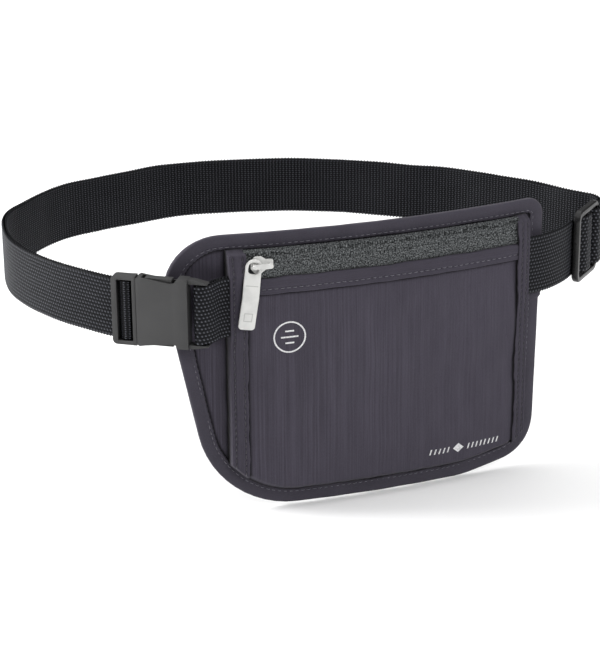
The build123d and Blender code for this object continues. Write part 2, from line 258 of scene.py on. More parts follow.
# ---- meshes ---------------------------------------------------------------------------
def new_mesh(name, points, faces):
    """A mesh from points in millimetres."""
    mesh = bpy.data.meshes.new(name)
    mesh.from_pydata((np.reshape(points, (-1, 3)) * MM).tolist(), [], faces)
    return mesh


def new_object(name, mesh, material):
    obj = bpy.data.objects.new(name, mesh)
    bpy.context.scene.collection.objects.link(obj)
    mesh.materials.append(material)
    return obj


def smooth(mesh):
    mesh.polygons.foreach_set("use_smooth", [True] * len(mesh.polygons))


def grid_object(name, points, material, closed=False, caps=False, uv=None, flip=False):
    """A mesh from a grid of points in millimetres; closed joins the last column to the first."""
    rows, cols = points.shape[:2]
    index = np.arange(rows * cols).reshape(rows, cols)
    across = np.concatenate([index, index[:, :1]], axis=1) if closed else index
    a, b, c, d = across[:-1, :-1], across[:-1, 1:], across[1:, 1:], across[1:, :-1]
    quads = np.stack([a, d, c, b] if flip else [a, b, c, d], axis=-1).reshape(-1, 4)
    faces = quads.tolist()
    if caps:
        first, last = index[0].tolist(), index[-1].tolist()
        faces += [first[::-1], last] if not flip else [first, last[::-1]]
    mesh = new_mesh(name, points, faces)
    if uv is not None:
        layer = mesh.uv_layers.new(name="cloth")
        loops = np.zeros(len(mesh.loops), np.int32)
        mesh.loops.foreach_get("vertex_index", loops)
        layer.data.foreach_set("uv", (uv.reshape(-1, 2)[loops] * MM).astype(np.float32).ravel())
    smooth(mesh)
    mesh.update()
    return new_object(name, mesh, material)


def solidify(obj, thickness):
    """Gives a sheet its thickness on the side away from its faces."""
    layer = obj.modifiers.new("thickness", "SOLIDIFY")
    layer.thickness = thickness * MM
    layer.offset = -1
    return obj


def piece(obj, body, slot, *nodes):
    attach(obj, body)
    if nodes:
        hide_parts(*nodes)
    return obj


# ---- materials ------------------------------------------------------------------------
class Nodes:
    """Short calls for building one material."""

    def __init__(self, name, color, roughness, **sockets):
        self.material = bpy.data.materials.new(name)
        self.material.use_nodes = True
        self.tree = self.material.node_tree
        self.shader = self.tree.nodes["Principled BSDF"]
        self.shader.inputs["Base Color"].default_value = (*color, 1)
        self.shader.inputs["Roughness"].default_value = roughness
        for key, value in sockets.items():
            self.shader.inputs[key.replace("_", " ")].default_value = value

    def add(self, kind, **settings):
        node = self.tree.nodes.new(kind)
        for key, value in settings.items():
            if key in node.inputs:
                node.inputs[key].default_value = value
            else:
                setattr(node, key, value)
        return node

    def link(self, a, b):
        self.tree.links.new(a, b)

    def coordinates(self, stretch=(1, 1, 1), uv="cloth"):
        """Coordinates in metres, stretched: from the cloth's own map, or from the object."""
        if uv:
            source = self.add("ShaderNodeUVMap", uv_map=uv).outputs["UV"]
        else:
            source = self.add("ShaderNodeTexCoord").outputs["Object"]
        mapping = self.add("ShaderNodeMapping", Scale=stretch)
        self.link(source, mapping.inputs["Vector"])
        return mapping.outputs["Vector"]

    def noise(self, stretch, detail=2.0, uv="cloth"):
        node = self.add("ShaderNodeTexNoise", Scale=1.0, Detail=detail)
        self.link(self.coordinates(stretch, uv), node.inputs["Vector"])
        return node.outputs["Fac"]

    def solid_noise(self, scale, detail=2.0):
        """Even noise through the object, for parts with no map of their own."""
        return self.noise((scale, scale, scale), detail, uv=None)

    def ramp(self, value, stops):
        node = self.add("ShaderNodeValToRGB")
        elements = node.color_ramp.elements
        while len(elements) < len(stops):
            elements.new(0.5)
        for element, (at, color) in zip(elements, stops):
            element.position = at
            element.color = (*color, 1)
        self.link(value, node.inputs["Fac"])
        return node.outputs["Color"]

    def tint(self, value, color, low, high, at=(0.3, 0.7)):
        """The colour from its low multiple to its high one as the value rises."""
        return self.ramp(value, [(at[0], scaled(color, low)), (at[1], scaled(color, high))])

    def ramp_value(self, value, low, high, to_low, to_high):
        """The value mapped from one range to another, held at its ends."""
        limits = {"From Min": low, "From Max": high, "To Min": to_low, "To Max": to_high}
        node = self.add("ShaderNodeMapRange", **limits)
        self.link(value, node.inputs["Value"])
        return node.outputs["Result"]

    def math(self, operation, a, b):
        node = self.add("ShaderNodeMath", operation=operation)
        for socket, value in zip(node.inputs, (a, b)):
            if isinstance(value, (int, float)):
                socket.default_value = value
            else:
                self.link(value, socket)
        return node.outputs[0]

    def mix(self, share, a, b, mode="MIX"):
        node = self.add("ShaderNodeMix", data_type="RGBA", blend_type=mode)
        for socket, value in ((node.inputs[0], share), (node.inputs[6], a), (node.inputs[7], b)):
            if isinstance(value, (int, float)):
                socket.default_value = value
            elif isinstance(value, tuple):
                socket.default_value = (*value, 1)
            else:
                self.link(value, socket)
        return node.outputs[2]

    def painted_contact_shade(self, tone, reach, low):
        """The tone darkened by painted shade where other surfaces stand close by."""
        near = self.add("ShaderNodeAmbientOcclusion", Distance=reach * MM, samples=8)
        share = self.ramp_value(near.outputs["AO"], 0.35, 0.92, low, 1.0)
        scale = self.add("ShaderNodeVectorMath", operation="SCALE")
        self.link(tone, scale.inputs[0])
        self.link(share, scale.inputs["Scale"])
        return scale.outputs[0]

    def bump(self, *layers):
        """Layers are (height, depth in millimetres)."""
        normal = None
        for height, depth in layers:
            node = self.add("ShaderNodeBump", Distance=depth * MM)
            self.link(height, node.inputs["Height"])
            if normal is not None:
                self.link(normal, node.inputs["Normal"])
            normal = node.outputs["Normal"]
        self.link(normal, self.shader.inputs["Normal"])

    def color(self, socket):
        self.link(socket, self.shader.inputs["Base Color"])

    def rough(self, value, low, high):
        self.link(self.ramp_value(value, 0.0, 1.0, low, high), self.shader.inputs["Roughness"])


def scaled(color, k):
    return tuple(c * k for c in color)


CHARCOAL = (0.050, 0.045, 0.060)
BINDING = (0.043, 0.039, 0.052)
BLACK_WEB = (0.013, 0.0135, 0.0155)


def cloth_material(name, color, streaks):
    """Plain weave with fine upright lines, which are weaker towards the right."""
    m = Nodes(name, color, 0.82, Sheen_Weight=0.05, Sheen_Roughness=0.5, Specular_IOR_Level=0.12)
    line = m.noise((1050, 10, 1), detail=1.0)
    slub = m.noise((1500, 110, 1))
    fine = m.noise((2600, 900, 1), detail=1.0)
    patch = m.noise((24, 15, 1))
    weft = m.noise((500, 3000, 1), detail=1.0)
    split = m.add("ShaderNodeSeparateXYZ")
    m.link(m.coordinates(), split.inputs[0])
    fade = m.ramp_value(split.outputs[0], -0.06, 0.05, 1.0, 0.3)
    strength = m.math("MULTIPLY", fade, m.ramp_value(patch, 0.3, 0.7, 0.45, 1.0))
    dark, light = scaled(color, 1 - streaks), scaled(color, 1 + streaks)
    tone = m.mix(strength, color, m.ramp(line, [(0.36, dark), (0.5, color), (0.64, light)]))
    tone = m.mix(0.3, tone, m.tint(slub, color, 0.72, 1.28))
    tone = m.mix(0.25, tone, m.tint(fine, color, 0.65, 1.35))
    tone = m.mix(0.25, tone, m.tint(patch, color, 0.8, 1.15))
    # Painted shade: the cloth is darkened at the foot of each fold (binding, welt, trims), then again where
    # other surfaces stand close by
    seam_dip_and_painted_shade = m.add("ShaderNodeAttribute", attribute_name="seam_dip_and_painted_shade").outputs["Fac"]
    tone = m.mix(m.math("MULTIPLY", seam_dip_and_painted_shade, 0.85), tone, scaled(color, 0.08))
    m.color(m.painted_contact_shade(tone, 2.5, 0.12))
    m.bump((line, 0.10), (slub, 0.08), (fine, 0.08), (weft, 0.06))
    m.rough(fine, 0.76, 0.9)
    return m.material


def binding_material():
    sheen = {"Sheen_Weight": 0.08, "Sheen_Roughness": 0.45}
    m = Nodes("binding_fabric", BINDING, 0.78, Specular_IOR_Level=0.2, **sheen)
    rib = m.noise((1800, 300, 1), detail=1.0)
    fine = m.noise((900, 2200, 1), detail=1.0)
    patch = m.noise((30, 60, 1))
    tone = m.tint(patch, BINDING, 0.86, 1.14)
    tone = m.mix(0.3, tone, m.tint(fine, BINDING, 0.75, 1.25))
    # Painted shade where other surfaces stand close by
    m.color(m.painted_contact_shade(tone, 2.0, 0.15))
    m.bump((rib, 0.06), (fine, 0.05))
    m.rough(rib, 0.7, 0.86)
    return m.material


def tape_material():
    """Zip tape: a coarse salt and pepper weave."""
    base = (0.055, 0.060, 0.062)
    dark, light = (0.006, 0.0065, 0.007), (0.19, 0.20, 0.205)
    m = Nodes("zip_tape", base, 0.7, Specular_IOR_Level=0.15)
    grain = m.noise((1450, 1450, 1), detail=1.0)
    cell = m.add("ShaderNodeTexVoronoi", Scale=1.0, Randomness=0.55)
    m.link(m.coordinates((1300, 1300, 1)), cell.inputs["Vector"])
    spot = cell.outputs["Distance"]
    tone = m.ramp(grain, [(0.36, dark), (0.5, base), (0.62, light)])
    tone = m.mix(0.45, tone, m.ramp(spot, [(0.15, light), (0.5, dark)]))
    # Painted shade where other surfaces stand close by
    m.color(m.painted_contact_shade(tone, 1.5, 0.2))
    m.bump((grain, 0.25), (spot, 0.15))
    return m.material


def coil_material():
    m = Nodes("zip_coil", (0.02, 0.02, 0.022), 0.35)
    m.bump((m.solid_noise(900), 0.03))
    return m.material


def web_material():
    m = Nodes("webbing", BLACK_WEB, 0.45, Specular_IOR_Level=0.05)
    bead = m.add("ShaderNodeAttribute", attribute_name="bead").outputs["Fac"]
    strand = m.noise((1500, 4200, 1), detail=1.0)
    patch = m.noise((60, 60, 1))
    # Painted shade and highlight: the valleys between beads are painted almost black and the bead tops up to
    # fourteen times brighter, so that only the bead tops look lit
    stops = ((0.3, 0.04), (0.6, 0.8), (0.8, 3.5), (1.0, 14.0))
    tone = m.ramp(bead, [(at, scaled(BLACK_WEB, share)) for at, share in stops])
    tone = m.mix(0.2, tone, m.tint(strand, BLACK_WEB, 0.1, 4.0))
    tone = m.mix(0.15, tone, m.tint(patch, BLACK_WEB, 0.4, 1.8))
    # Painted shade where other surfaces stand close by
    m.color(m.painted_contact_shade(tone, 2.0, 0.1))
    m.bump((strand, 0.10))
    m.rough(strand, 0.3, 0.5)
    return m.material


def plastic_material(name, color, roughness, grain):
    m = Nodes(name, color, roughness, Specular_IOR_Level=0.3)
    fine = m.solid_noise(2600)
    patch = m.solid_noise(55, 3.0)
    # Painted shade where other surfaces stand close by
    m.color(m.painted_contact_shade(m.tint(patch, color, 0.9, 1.1), 2.0, 0.2))
    m.bump((fine, grain))
    m.rough(patch, roughness - 0.05, roughness + 0.06)
    return m.material


def paint_material(name, color):
    m = Nodes(name, color, 0.38, Specular_IOR_Level=0.5, Coat_Weight=0.15, Coat_Roughness=0.3)
    orange = m.solid_noise(700)
    wear = m.solid_noise(160, 4.0)
    m.color(m.ramp(wear, [(0.28, scaled(color, 0.86)), (0.5, color), (0.75, scaled(color, 1.06))]))
    m.bump((orange, 0.02))
    m.rough(wear, 0.33, 0.45)
    return m.material


def thread_material(name, color):
    m = Nodes(name, color, 0.5, Sheen_Weight=0.2, Sheen_Roughness=0.4)
    ply = m.solid_noise(5000)
    m.color(m.tint(ply, color, 0.6, 1.3, at=(0.35, 0.65)))
    m.bump((ply, 0.05))
    return m.material


def print_material():
    m = Nodes("print", (0.62, 0.62, 0.63), 0.5)
    wear = m.solid_noise(1500)
    m.color(m.ramp(wear, [(0.3, (0.42, 0.42, 0.43)), (0.55, (0.66, 0.66, 0.67))]))
    m.bump((wear, 0.03))
    return m.material


def film_material():
    m = Nodes("liner_film", (0.4, 0.4, 0.42), 0.4, Metallic=0.6)
    fine = m.solid_noise(1200)
    m.color(m.ramp(fine, [(0.3, (0.3, 0.3, 0.32)), (0.7, (0.5, 0.5, 0.52))]))
    m.bump((fine, 0.05))
    return m.material


FABRIC = cloth_material("pouch_fabric", CHARCOAL, 0.55)
FABRIC_PLAIN = cloth_material("trim_fabric", scaled(CHARCOAL, 0.88), 0.2)
TAPE_FABRIC = binding_material()
ZIP_TAPE = tape_material()
ZIP_COIL = coil_material()
WEBBING = web_material()
PLASTIC = plastic_material("buckle_plastic", (0.04, 0.04, 0.0405), 0.48, 0.05)
GLOSS = plastic_material("adjuster_plastic", (0.007, 0.007, 0.0075), 0.26, 0.02)
PAINT = paint_material("slider_paint", (0.60, 0.60, 0.585))
# Darker paint for the shade painted along the puller's recess edges
RECESS_SHADE_PAINT = paint_material("slider_recess_shade_paint", (0.40, 0.40, 0.39))
THREAD = thread_material("thread", (0.105, 0.10, 0.125))
DARK_THREAD = thread_material("dark_thread", (0.035, 0.032, 0.042))
PRINT = print_material()
FILM = film_material()


# ---- camera, light and floor, in metres ------------------------------------------------
CAMERA_AT = (-0.3424, -1.0108, 0.3761)
CAMERA_LOOK = (0.2945, 0.8802, -0.3722)
CAMERA_ROLL = 0.5
LENS = 120.365
SENSOR = 36
WORLD_STRENGTH = 0.22
FLOOR_HALF = 6
FLOOR_DROP = 0.001
# Name, place, aim, size and power
LIGHTS = [
    ("top", (0, 0.6, 2.6), (0, 0.6, 0), (5.0, 5.0), 104),
    ("front", (0.35, -1.9, 1.25), (0, 0, 0), (0.8, 0.7), 15),
    ("left", (-1.2, 0.35, 0.4), (-0.1, 0.0, 0), (0.3, 0.8), 24),
    ("right", (1.2, -0.7, 0.5), (0.1, 0, 0), (0.3, 0.8), 6),
]


def camera():
    look = Vector(CAMERA_LOOK).normalized()
    level = look.cross(Vector((0, 0, 1))).normalized()
    roll = radians(CAMERA_ROLL)
    up = level.cross(look)
    right = level * cos(roll) - up * sin(roll)
    up = right.cross(look)
    data = bpy.data.cameras.new("camera")
    data.sensor_width = SENSOR
    data.lens = LENS
    data.clip_start = 0.05
    obj = bpy.data.objects.new("camera", data)
    turn = Matrix((right, up, -look)).transposed().to_4x4()
    obj.matrix_world = Matrix.Translation(CAMERA_AT) @ turn
    bpy.context.scene.collection.objects.link(obj)
    bpy.context.scene.camera = obj


def area_light(name, place, aim, size, power):
    data = bpy.data.lights.new(name, "AREA")
    data.shape = "RECTANGLE"
    data.size, data.size_y = size
    data.energy = power
    obj = bpy.data.objects.new(name, data)
    obj.location = place
    obj.rotation_euler = (Vector(aim) - Vector(place)).to_track_quat("-Z", "Y").to_euler()
    bpy.context.scene.collection.objects.link(obj)


def studio():
    world = bpy.data.worlds.new("world")
    world.use_nodes = True
    background = world.node_tree.nodes["Background"].inputs
    background["Color"].default_value = (1, 1, 1, 1)
    background["Strength"].default_value = WORLD_STRENGTH
    bpy.context.scene.world = world
    for light in LIGHTS:
        area_light(*light)
    floor = Nodes("floor", (0.93, 0.93, 0.93), 0.9)
    grain = floor.solid_noise(9)
    floor.color(floor.ramp(grain, [(0.3, (0.925, 0.925, 0.925)), (0.7, (0.935, 0.935, 0.935))]))
    mesh = bpy.data.meshes.new("floor")
    low = CAD_BOX[0][2] - FLOOR_DROP
    corners = [(x * FLOOR_HALF, y * FLOOR_HALF, low) for x, y in ((-1, -1), (1, -1), (1, 1), (-1, 1))]
    mesh.from_pydata(corners, [], [(0, 1, 2, 3)])
    new_object("floor", mesh, floor.material)


bpy.context.scene.view_settings.view_transform = "Standard"
camera()
studio()


# ---- outline of the pouch --------------------------------------------------------------
EDGE_STEP = 0.75
EDGE = rounded(OUTLINE, EDGE_STEP)


def edge_normals(points):
    """Inward unit normals of the closed outline."""
    along = np.roll(points, -1, axis=0) - np.roll(points, 1, axis=0)
    along /= np.linalg.norm(along, axis=1)[:, None]
    normal = np.stack([-along[:, 1], along[:, 0]], axis=1)
    centre = points.mean(axis=0)
    if ((centre - points) * normal).sum() < 0:
        normal = -normal
    return normal


EDGE_IN = edge_normals(EDGE)
EDGE_S = np.arange(len(EDGE)) * EDGE_STEP


def inset_line(distance):
    return EDGE + EDGE_IN * distance


def side_limits(line, z):
    """Lowest and highest x where the closed line crosses height z, for each z."""
    low, high = [], []
    ends = np.roll(line, -1, axis=0)
    for height in np.atleast_1d(z):
        crossing = (line[:, 1] - height) * (ends[:, 1] - height) <= 0
        a, b = line[crossing], ends[crossing]
        rise = np.where(np.abs(b[:, 1] - a[:, 1]) < 1e-9, 1e-9, b[:, 1] - a[:, 1])
        x = a[:, 0] + (b[:, 0] - a[:, 0]) * np.clip((height - a[:, 1]) / rise, 0, 1)
        low.append(x.min())
        high.append(x.max())
    return np.array(low), np.array(high)


def end_limits(line, x):
    """Lowest and highest z where the closed line crosses each x."""
    return side_limits(line[:, ::-1], x)


# ---- stitches --------------------------------------------------------------------------
STITCH_PITCH = 3.0
THREAD_RINGS = 7
THREAD_SIDES = 6


def stitches(name, lines, material, length=2.1, width=0.42, sink=0.1):
    """Rows of thread. Each line is (points, outward directions) in millimetres."""
    vertices, faces = [], []
    places = np.linspace(-0.5, 0.5, THREAD_RINGS)
    arch = np.cos(places * pi)
    for points, out in lines:
        steps = np.linalg.norm(np.diff(points, axis=0), axis=1)
        at = np.concatenate([[0], np.cumsum(steps)])
        count = int(at[-1] / STITCH_PITCH)
        for k in range(count):
            middle = (k + 0.5) * at[-1] / count
            ring_at = middle + places * length
            centre = np.stack([np.interp(ring_at, at, points[:, i]) for i in range(3)], axis=1)
            up = np.array([np.interp(middle, at, out[:, i]) for i in range(3)])
            along = centre[-1] - centre[0]
            along /= np.linalg.norm(along)
            across = np.cross(up, along)
            base = len(vertices)
            for ring in range(THREAD_RINGS):
                size = width / 2 * (0.35 + 0.65 * sqrt(max(arch[ring], 0)))
                rise = arch[ring] * width * 0.5 - sink
                for corner in range(THREAD_SIDES):
                    angle = corner * 2 * pi / THREAD_SIDES
                    lift = rise + sin(angle) * size * 0.8
                    vertices.append(centre[ring] + up * lift + across * cos(angle) * size)
            for ring in range(THREAD_RINGS - 1):
                first = base + ring * THREAD_SIDES
                for corner in range(THREAD_SIDES):
                    a, b = first + corner, first + (corner + 1) % THREAD_SIDES
                    faces.append((a, b, b + THREAD_SIDES, a + THREAD_SIDES))
            last = base + (THREAD_RINGS - 1) * THREAD_SIDES
            faces.append(tuple(base + i for i in reversed(range(THREAD_SIDES))))
            faces.append(tuple(last + i for i in range(THREAD_SIDES)))
    mesh = new_mesh(name, vertices, faces)
    smooth(mesh)
    return new_object(name, mesh, material)


def radial(x):
    """Outward directions at each x of the pouch."""
    x = np.asarray(x, float)
    y = -np.sqrt(ARC_R * ARC_R - x * x)
    return np.stack([x, y, np.zeros_like(x)], axis=-1) / ARC_R


# ---- binding ---------------------------------------------------------------------------
STITCH_IN = 5.9
BINDING_CROWN = 1.45
TAB_Z = -18.2
FRONT_ROW_R = 495.72
BACK_ROW_R = 493.48


def binding_mesh():
    """The folded tape round the edge, with its stitch groove, puckers and slight wander."""
    turns = np.linspace(0, 2 * pi, 41)[:-1]
    c, s = np.cos(turns), np.sin(turns)
    inward = BINDING_W / 2 * (1 - np.sign(c) * np.abs(c) ** 0.42)
    rise = np.sign(s) * np.abs(s) ** 0.55
    t = EDGE_S[:, None]
    total = len(EDGE) * EDGE_STEP
    loop = t / total * 2 * pi
    # The waves are drawn on a circle, so that they meet where the outline closes
    loop_x, loop_y = np.cos(loop) * total / 7, np.sin(loop) * total / 7
    beat = 2 * pi * t / STITCH_PITCH
    groove = np.exp(-((inward[None, :] - STITCH_IN) / 0.6) ** 2) * (0.34 + 0.10 * np.cos(beat))
    crown = BINDING_CROWN + 0.14 * waves(loop_x, loop_y, 14, 3)
    height = rise[None, :] * crown - np.sign(rise)[None, :] * groove * (np.abs(rise[None, :]) > 0.3)
    pucker = 0.16 * np.exp(-((inward[None, :] - BINDING_W) / 1.1) ** 2) * np.cos(beat + 1.2)
    wander = 0.18 * waves(loop_x, loop_y, 22, 5)
    depth = inward[None, :] + pucker + wander * (inward[None, :] / BINDING_W)
    # The tape's overlapped end stands out a little under the right-hand webbing
    tab = np.exp(-((EDGE[:, 1] - TAB_Z) / 1.7) ** 6) * (EDGE[:, 0] > 80)
    depth = depth - tab[:, None] * 1.1 * (1 - inward[None, :] / BINDING_W)
    height = height + tab[:, None] * 0.5 * np.clip(rise, 0, 1)[None, :]
    x = EDGE[:, 0:1] + EDGE_IN[:, 0:1] * depth
    z = EDGE[:, 1:2] + EDGE_IN[:, 1:2] * depth
    points = pouch_point(x, z, BINDING_R + height)
    points = np.concatenate([points, points[:1]], axis=0)
    # The back half's map is moved aside, so that the two halves don't share their grain
    along, across = np.broadcast_arrays(np.append(EDGE_S, total)[:, None], inward + 9 * (rise < 0))
    uv = np.stack([along, across], axis=-1)
    obj = grid_object("edge_binding_tape", points, TAPE_FABRIC, closed=True, uv=uv)
    weld(obj)
    return obj


def weld(obj, join=True):
    """Joins points that meet, and turns every face outward."""
    bm = bmesh.new()
    bm.from_mesh(obj.data)
    if join:
        bmesh.ops.remove_doubles(bm, verts=bm.verts, dist=1e-6)
    bmesh.ops.recalc_face_normals(bm, faces=bm.faces)
    bm.to_mesh(obj.data)
    bm.free()
    obj.data.update()


piece(binding_mesh(), "pouch", "binding_fabric", "edge_binding")


def binding_stitches(name, radius, side):
    """The row of thread on one side of the binding: 1 is the front, -1 the back."""
    line = inset_line(STITCH_IN)
    x, z = np.vstack([line, line[:1]]).T
    return stitches(name, [(pouch_point(x, z, radius), side * radial(x))], THREAD)


piece(binding_stitches("binding_stitches", FRONT_ROW_R, 1), "pouch", "binding_fabric")
piece(binding_stitches("binding_stitches_back", BACK_ROW_R, -1), "pouch", "binding_fabric")


# ---- panels ----------------------------------------------------------------------------
PANEL_COLS = 260


def painted_fold_shade(x, z, level, uprights, width=0.75):
    """How near each point is to the foot of a fold, where shade is painted: the binding, a level edge and
    upright edges.
    """
    shade = np.exp(-((distance_in(x, z) - BINDING_W - 0.2) / width) ** 2)
    if level is not None:
        shade = np.maximum(shade, np.exp(-((level - z) / width) ** 2))
    for s in uprights:
        shade = np.maximum(shade, np.exp(-((x - s_to_x(s)) / width) ** 2))
    return shade


def rows_panel(name, z, x_low, x_high, radius, cols, material, thickness, painted_shade_lines=None):
    """A sheet from rows of heights, each running between its own two ends."""
    share = np.linspace(0, 1, cols)[None, :]
    x = x_low[:, None] * (1 - share) + x_high[:, None] * share
    zz = np.repeat(z[:, None], cols, axis=1)
    points = pouch_point(x, zz, radius(x, zz))
    uv = np.stack([x, zz], axis=-1)
    obj = grid_object(name, points, material, uv=uv)
    if painted_shade_lines:
        # Painted shade at the feet of folds, kept on the mesh for the cloth's material
        attribute = obj.data.attributes.new("seam_dip_and_painted_shade", "FLOAT", "POINT")
        attribute.data.foreach_set("value", painted_fold_shade(x, zz, *painted_shade_lines).astype(np.float32).ravel())
    return solidify(obj, thickness)


def back_panel():
    line = inset_line(2.0)
    z = np.linspace(line[:, 1].min() + 0.05, line[:, 1].max() - 0.05, 150)
    low, high = side_limits(line, z)

    def radius(x, zz):
        puff = 0.35 * waves(x, zz, 38, 11) + 0.15 * waves(x, zz, 13, 12)
        inner = ease((distance_in(x, zz) - BINDING_W) / 8)
        return BACK_R + 0.9 * puff * inner

    # Painted shade along the trims' outer edges
    painted_shade_lines = (None, (TRIM_LEFT[0], TRIM_RIGHT[1]))
    return rows_panel("back_panel_cloth", z, low, high, radius, PANEL_COLS, FABRIC, 0.9, painted_shade_lines)


def distance_in(x, z):
    """Distance from the outline, taken only near it."""
    flat = np.stack([np.ravel(x), np.ravel(z)], axis=1)
    line = EDGE[::3]
    best = np.full(len(flat), 1e9)
    for start in range(0, len(line), 40):
        part = line[start:start + 40]
        gap = np.sqrt(((flat[:, None, :] - part[None, :, :]) ** 2).sum(axis=2)).min(axis=1)
        best = np.minimum(best, gap)
    return best.reshape(np.shape(x))


def front_radius(x, zz):
    """Height of the pocket front: it falls to the back panel at its edge and is loose in the middle."""
    edge = distance_in(x, zz) - BINDING_W + 0.6
    fall = 1 - ease(edge / 4.5)
    soft = ease(edge / 22) * ease((WELT_Z[0] - zz) / 12 + 0.1)
    body = 0.45 * waves(x, zz, 46, 21) + 0.20 * waves(x, zz * 0.6, 17, 22)
    pull = 0.12 * waves(x * 1.2, zz * 0.25, 9, 23) * np.exp(-edge / 14)
    return FRONT_R + 0.5 * soft + body * soft + pull - 4.9 * fall


def pocket_limits(line, z, inset):
    """Both ends of each row of a sheet that stops at inset within the trims."""
    low, high = side_limits(line, z)
    return np.maximum(low, s_to_x(TRIM_LEFT[0] + inset)), np.minimum(high, s_to_x(TRIM_RIGHT[1] - inset))


def front_panel():
    line = inset_line(BINDING_W - 0.6)
    z = np.linspace(line[:, 1].min() + 0.03, WINDOW_Z[0] - 0.1, 190)
    low, high = pocket_limits(line, z, 0.8)
    # Painted shade under the welt and beside the trims
    painted_shade_lines = (WELT_Z[0] - 0.2, (TRIM_LEFT[1] + 0.3, TRIM_RIGHT[0] - 0.3))
    return rows_panel("front_panel_cloth", z, low, high, front_radius, PANEL_COLS, FABRIC, 0.5, painted_shade_lines)


def liner(name, radius, z_top):
    """Shielding film inside the pocket, a little smaller than its cloth."""
    line = inset_line(BINDING_W + 5.0)
    z = np.linspace(line[:, 1].min() + 0.1, min(z_top, line[:, 1].max() - 0.1), 60)
    low, high = pocket_limits(line, z, 3)

    def film(x, zz):
        return radius + 0.05 * waves(x, zz, 30, 27)

    return rows_panel(name, z, low, high, film, 80, FILM, 0.2)


piece(back_panel(), "pouch", "pouch_fabric", "back_panel")
piece(front_panel(), "pouch", "pouch_fabric", "front_panel")
piece(liner("liner_front_film", 499.0, 9.5), "pouch", "liner_film", "rfid_liner_front")
piece(liner("liner_back_film", 495.75, 24.0), "pouch", "liner_film", "rfid_liner_back")


# ---- prints ----------------------------------------------------------------------------
PRINT_LIFT = 0.07


def flat_strips(name, loops, place, material):
    """Thin flat strips. Each loop is rows of two points, drawn flat and put in space by place."""
    vertices, faces = [], []
    for rows in loops:
        base = len(vertices)
        for pair in rows:
            vertices += [tuple(point) for point in pair]
        for k in range(len(rows) - 1):
            a = base + 2 * k
            faces.append((a, a + 1, a + 3, a + 2))
    flat = np.array(vertices, float)
    mesh = new_mesh(name, place(*flat.T), faces)
    mesh.update()
    return new_object(name, mesh, material)


def on_front(s, z):
    x = s_to_x(s)
    return pouch_point(x, z, front_radius(x, z) + PRINT_LIFT)


def ring_rows(s, z, radius, width, turns=72):
    edges = (radius - width / 2, radius + width / 2)
    angles = np.linspace(0, 2 * pi, turns + 1)
    return [[(s + edge * cos(angle), z + edge * sin(angle)) for edge in edges] for angle in angles]


def bar_rows(s, z, length, height, lean=0.0):
    """A bar with its middle at s, z, leaning to the right by lean over its height."""
    middles = s + length * np.linspace(-0.5, 0.5, max(2, int(length / 0.5)))
    return [[(middle + side * lean, z + side * height) for side in (-0.5, 0.5)] for middle in middles]


def diamond_rows(s, z, half_w, half_h):
    shares = np.linspace(-1, 1, 13)
    return [[(s + half_w * k, z + side * half_h * (1 - abs(k))) for side in (-1, 1)] for k in shares]


BADGE = (-38.3, -18.2)
BADGE_R = 7.6
BADGE_LINE = 0.75
# Height above the badge's middle, length
BADGE_BARS = ((3.0, 4.4), (0.0, 8.6), (-3.0, 4.4))
MOTIF_Z = -90.4
MOTIF_PITCH = 2.4
# Place of the first slanted bar and number of bars, on each side of the diamond
MOTIF_GROUPS = ((35.0, 5), (56.0, 8))
DIAMOND_S = 50.3

badge = [ring_rows(*BADGE, BADGE_R, BADGE_LINE)]
badge += [bar_rows(BADGE[0], BADGE[1] + rise, length, 0.8) for rise, length in BADGE_BARS]
motif_s = [first + MOTIF_PITCH * k for first, count in MOTIF_GROUPS for k in range(count)]
motif = [bar_rows(s, MOTIF_Z, 0.75, 3.0, 0.8) for s in motif_s]
motif.append(diamond_rows(DIAMOND_S, MOTIF_Z, 3.0, 2.6))
piece(flat_strips("badge_print", badge, on_front, PRINT), "pouch", "pouch_fabric")
piece(flat_strips("motif_print", motif, on_front, PRINT), "pouch", "pouch_fabric")


# ---- zip -------------------------------------------------------------------------------
TAPE_STEP = 0.3
TAPE_T = 0.5
TAPE_LOW = 10.0
TAPE_GAP = 0.06
TAPE_FALL = 3.0


def zip_tape(name, low, high, upper):
    """One zip tape; the upper one runs up and back to the top binding."""
    s = np.arange(WINDOW_S[0] - 0.7, WINDOW_S[1] + 0.8, TAPE_STEP)
    if upper:
        _, line = end_limits(EDGE, s_to_x(s))
        high = line - BINDING_W + 0.3
    share = np.linspace(0, 1, 34)[None, :]
    zz = low * (1 - share) + np.reshape(high, (-1, 1)) * share
    ss, zz = np.broadcast_arrays(s[:, None], zz)
    seam_dip_and_painted_shade = np.exp(-((zz - ZIP_Z) / 0.35) ** 2)
    radius = TAPE_R - 0.45 * seam_dip_and_painted_shade + 0.08 * waves(ss, zz, 9, 31)
    if upper:
        below = np.reshape(high, (-1, 1)) - zz
        band = np.clip((2.9 - below) / 0.6, 0, 1)
        ticks = 0.30 * band * np.cos(2 * pi * ss / 1.25)
        radius = radius + ticks - TAPE_FALL * (1 - ease(below / 1.5))
    points = pouch_point(s_to_x(ss), zz, radius)
    rise = np.hypot(np.diff(zz, axis=1), np.diff(np.minimum(radius, TAPE_R), axis=1))
    length = np.concatenate([np.zeros((len(s), 1)), np.cumsum(rise, axis=1)], axis=1)
    return solidify(grid_object(name, points, ZIP_TAPE, uv=np.stack([ss, length], axis=-1)), TAPE_T)


upper_tape = zip_tape("zip_tape_upper_cloth", ZIP_Z + TAPE_GAP, 0, True)
lower_tape = zip_tape("zip_tape_lower_cloth", TAPE_LOW, ZIP_Z - TAPE_GAP, False)
piece(upper_tape, "pouch", "zip_tape", "zip_tape_upper")
piece(lower_tape, "pouch", "zip_tape", "zip_tape_lower")


